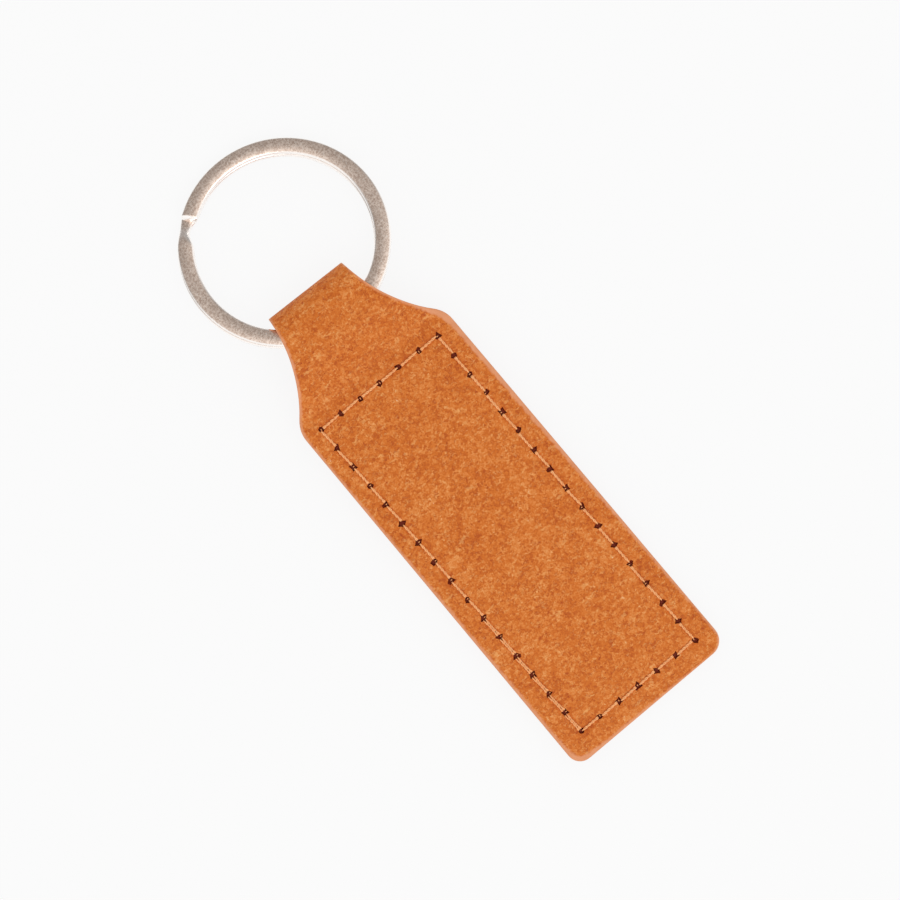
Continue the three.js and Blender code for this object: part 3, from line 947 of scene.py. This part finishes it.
def clear_adhesive():
    """Dried contact adhesive, cloudy and a little yellow."""
    glue = Finish("clear_adhesive")
    place = glue.place()
    clouds = glue.noise(place, 0.6, 3.0)
    strings = glue.noise(place, 4.0, 2.0)
    colour = glue.mix(clouds, shade(206, 178, 134), shade(233, 214, 178))
    glue.surface(colour, 0.35 + strings * 0.3, strings, 0.03, Specular_IOR_Level=0.5)
    return glue


def nickel_steel():
    """Tumbled nickel plating: warm grey and speckled on its faces; its sides are painted near white as a painted
    reflection of the pale room, and made a little smoother.
    """
    nickel = Finish("nickel_plated_steel")
    place = nickel.place()
    speckle = nickel.noise(place, 3.4, 3.0, 0.7)
    clouds = nickel.noise(place, 0.7, 2.0)
    face = nickel.mix(speckle.ramp(0.34, 0.66), shade(204, 178, 161), shade(252, 232, 217))
    face = nickel.mix(clouds.ramp(0.4, 0.7) * 0.3, face, shade(218, 194, 178))
    specks = nickel.noise(place, 5.5, 1.0).ramp(0.63, 0.72)
    face = nickel.mix(specks * 0.6, face, shade(255, 250, 242))
    # Painted reflection: the sides are painted near white, standing in for the pale room that they reflect; they
    # are also a little smoother.
    side_sheen = nickel.mark("rubbed_side")
    colour = nickel.mix(side_sheen, face, shade(255, 250, 246))
    roughness = 0.3 + (speckle - 0.5) * 0.3 - side_sheen * 0.1
    nickel.surface(colour, roughness, speckle, 0.012, Metallic=1.0)
    return nickel


# Stage
def make_floor():
    floor = start(
        "table_top", bpy.ops.mesh.primitive_circle_add, vertices=96, radius=1.5, fill_type="NGON"
    )
    bpy.ops.mesh.inset(thickness=0.6)
    bpy.ops.mesh.subdivide(number_cuts=2)
    bpy.ops.object.mode_set(mode="OBJECT")
    paper = Finish("pale_table")
    light = paper.node("ShaderNodeEmission", {}, {"Color": shade(252, 252, 252), "Strength": 1.0})
    matt = paper.node("ShaderNodeBsdfDiffuse", {}, {"Color": shade(246, 246, 246)})
    seen = paper.node("ShaderNodeLightPath", {}, {}, output="Is Camera Ray")
    glossy = paper.node("ShaderNodeLightPath", {}, {}, output="Is Glossy Ray")
    through = paper.node("ShaderNodeLightPath", {}, {}, output="Is Transmission Ray")
    share = (seen + glossy + through) * 0.9
    mixed = paper.node("ShaderNodeMixShader", {}, {0: share, 1: matt, 2: light})
    paper.end("ShaderNodeOutputMaterial", mixed)
    paper.put_on(floor)


def light_stage():
    """A pale, even room and a soft lamp. Metal sees the room dimmer on the ring's side."""
    world = bpy.data.worlds.new("studio")
    bpy.context.scene.world = world
    room = Nodes(world)
    direction = room.node("ShaderNodeTexCoord", {}, {}, output="Generated")
    bright_side = (-0.17, -0.985, 0)
    settings = {"operation": "DOT_PRODUCT"}
    aim = room.node("ShaderNodeVectorMath", settings, {0: direction, 1: bright_side}, output=1)
    levels = ((0, 0.42), (0.21, 0.42), (0.29, 0.46), (0.36, 0.55), (0.45, 0.76), (0.49, 1.0))
    stops = [(place, (level, level, level, 1)) for place, level in levels]
    sky = room.node("ShaderNodeValToRGB", {"stops": stops}, {0: aim * 0.5 + 0.5})
    even = room.node("ShaderNodeBackground", {}, {"Color": shade(255, 255, 255), "Strength": 0.8})
    shown = room.node("ShaderNodeBackground", {}, {"Color": sky, "Strength": 1.0})
    white = room.node("ShaderNodeBackground", {}, {"Color": shade(251, 251, 251), "Strength": 1.0})
    glossy = room.node("ShaderNodeLightPath", {}, {}, output="Is Glossy Ray")
    through = room.node("ShaderNodeLightPath", {}, {}, output="Is Transmission Ray")
    seen = room.node("ShaderNodeLightPath", {}, {}, output="Is Camera Ray")
    lit = room.node("ShaderNodeMixShader", {}, {0: glossy + through, 1: even, 2: shown})
    room.end("ShaderNodeOutputWorld", room.node("ShaderNodeMixShader", {}, {0: seen, 1: lit, 2: white}))
    bpy.ops.object.select_all(action="DESELECT")
    bpy.ops.object.light_add(type="AREA", location=(-0.05, -0.55, 0.85))
    lamp = bpy.context.object
    lamp.name = "soft_lamp"
    lamp.data.shape = "DISK"
    lamp.data.size = 0.8
    lamp.data.energy = 2.2
    lamp.rotation_euler = (-lamp.location).to_track_quat("-Z", "Y").to_euler()


def aim_camera():
    """The photograph was taken from almost straight above, with the fob lying across the picture."""
    picture = 900
    focal_pixels = 2846.855
    sensor = 36.0
    distance = 402.35 * MM
    fold = FOB_PLACE.translation.copy()
    fold.z = 0
    target = fold + Vector((1.315, -30.133, 1.0)) * MM
    fob_angle = math.radians(50.01)
    lean = math.radians(3)
    lean_towards = math.radians(75)
    right = Vector((math.sin(fob_angle), -math.cos(fob_angle), 0))
    down = Vector((-math.cos(fob_angle), -math.sin(fob_angle), 0))
    side = right * math.cos(lean_towards) + down * math.sin(lean_towards)
    back = Vector((0, 0, 1)) * math.cos(lean) + side * math.sin(lean)
    across = (-back).cross(-down).normalized()
    upright = across.cross(-back)
    data = bpy.data.cameras.new("camera")
    data.sensor_width = sensor
    data.lens = focal_pixels * sensor / picture
    data.clip_start = 0.01
    camera = bpy.data.objects.new("camera", data)
    bpy.context.scene.collection.objects.link(camera)
    camera.matrix_world = Matrix.Translation(target + back * distance) @ Matrix((
        across, upright, back)).transposed().to_4x4()
    bpy.context.scene.camera = camera


# Assembly
leather = tan_leather()
thread = peach_thread()
nickel = nickel_steel()

strap = make_strap()
leather.put_on(strap)
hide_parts("leather_strap")
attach(strap, "fob")

stitch_kinds = {
    name: make_stitch(name, bow, knotted)
    for name, bow, knotted in (
        ("stitch", 0, False),
        ("knotted_stitch", 0, True),
        ("left_strand", 0.1, True),
        ("right_strand", -0.1, False),
    )
}
for name, node, face in (
    ("front_stitching", "needle_thread", 1),
    ("back_stitching", "bobbin_thread", -1),
):
    stitching = make_stitching(name, face, stitch_kinds)
    bpy.ops.object.shade_smooth()
    settle(stitching, FOB_PLACE)
    thread.put_on(stitching)
    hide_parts(node)
    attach(stitching, "fob")
discard(*stitch_kinds.values())

ring = make_ring()
nickel.put_on(ring)
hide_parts("split_ring")
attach(ring, "ring")

clear_adhesive().put_on(frame["nodes"]["adhesive_film"])

make_floor()
light_stage()
aim_camera()
bpy.context.scene.view_settings.view_transform = "Standard"
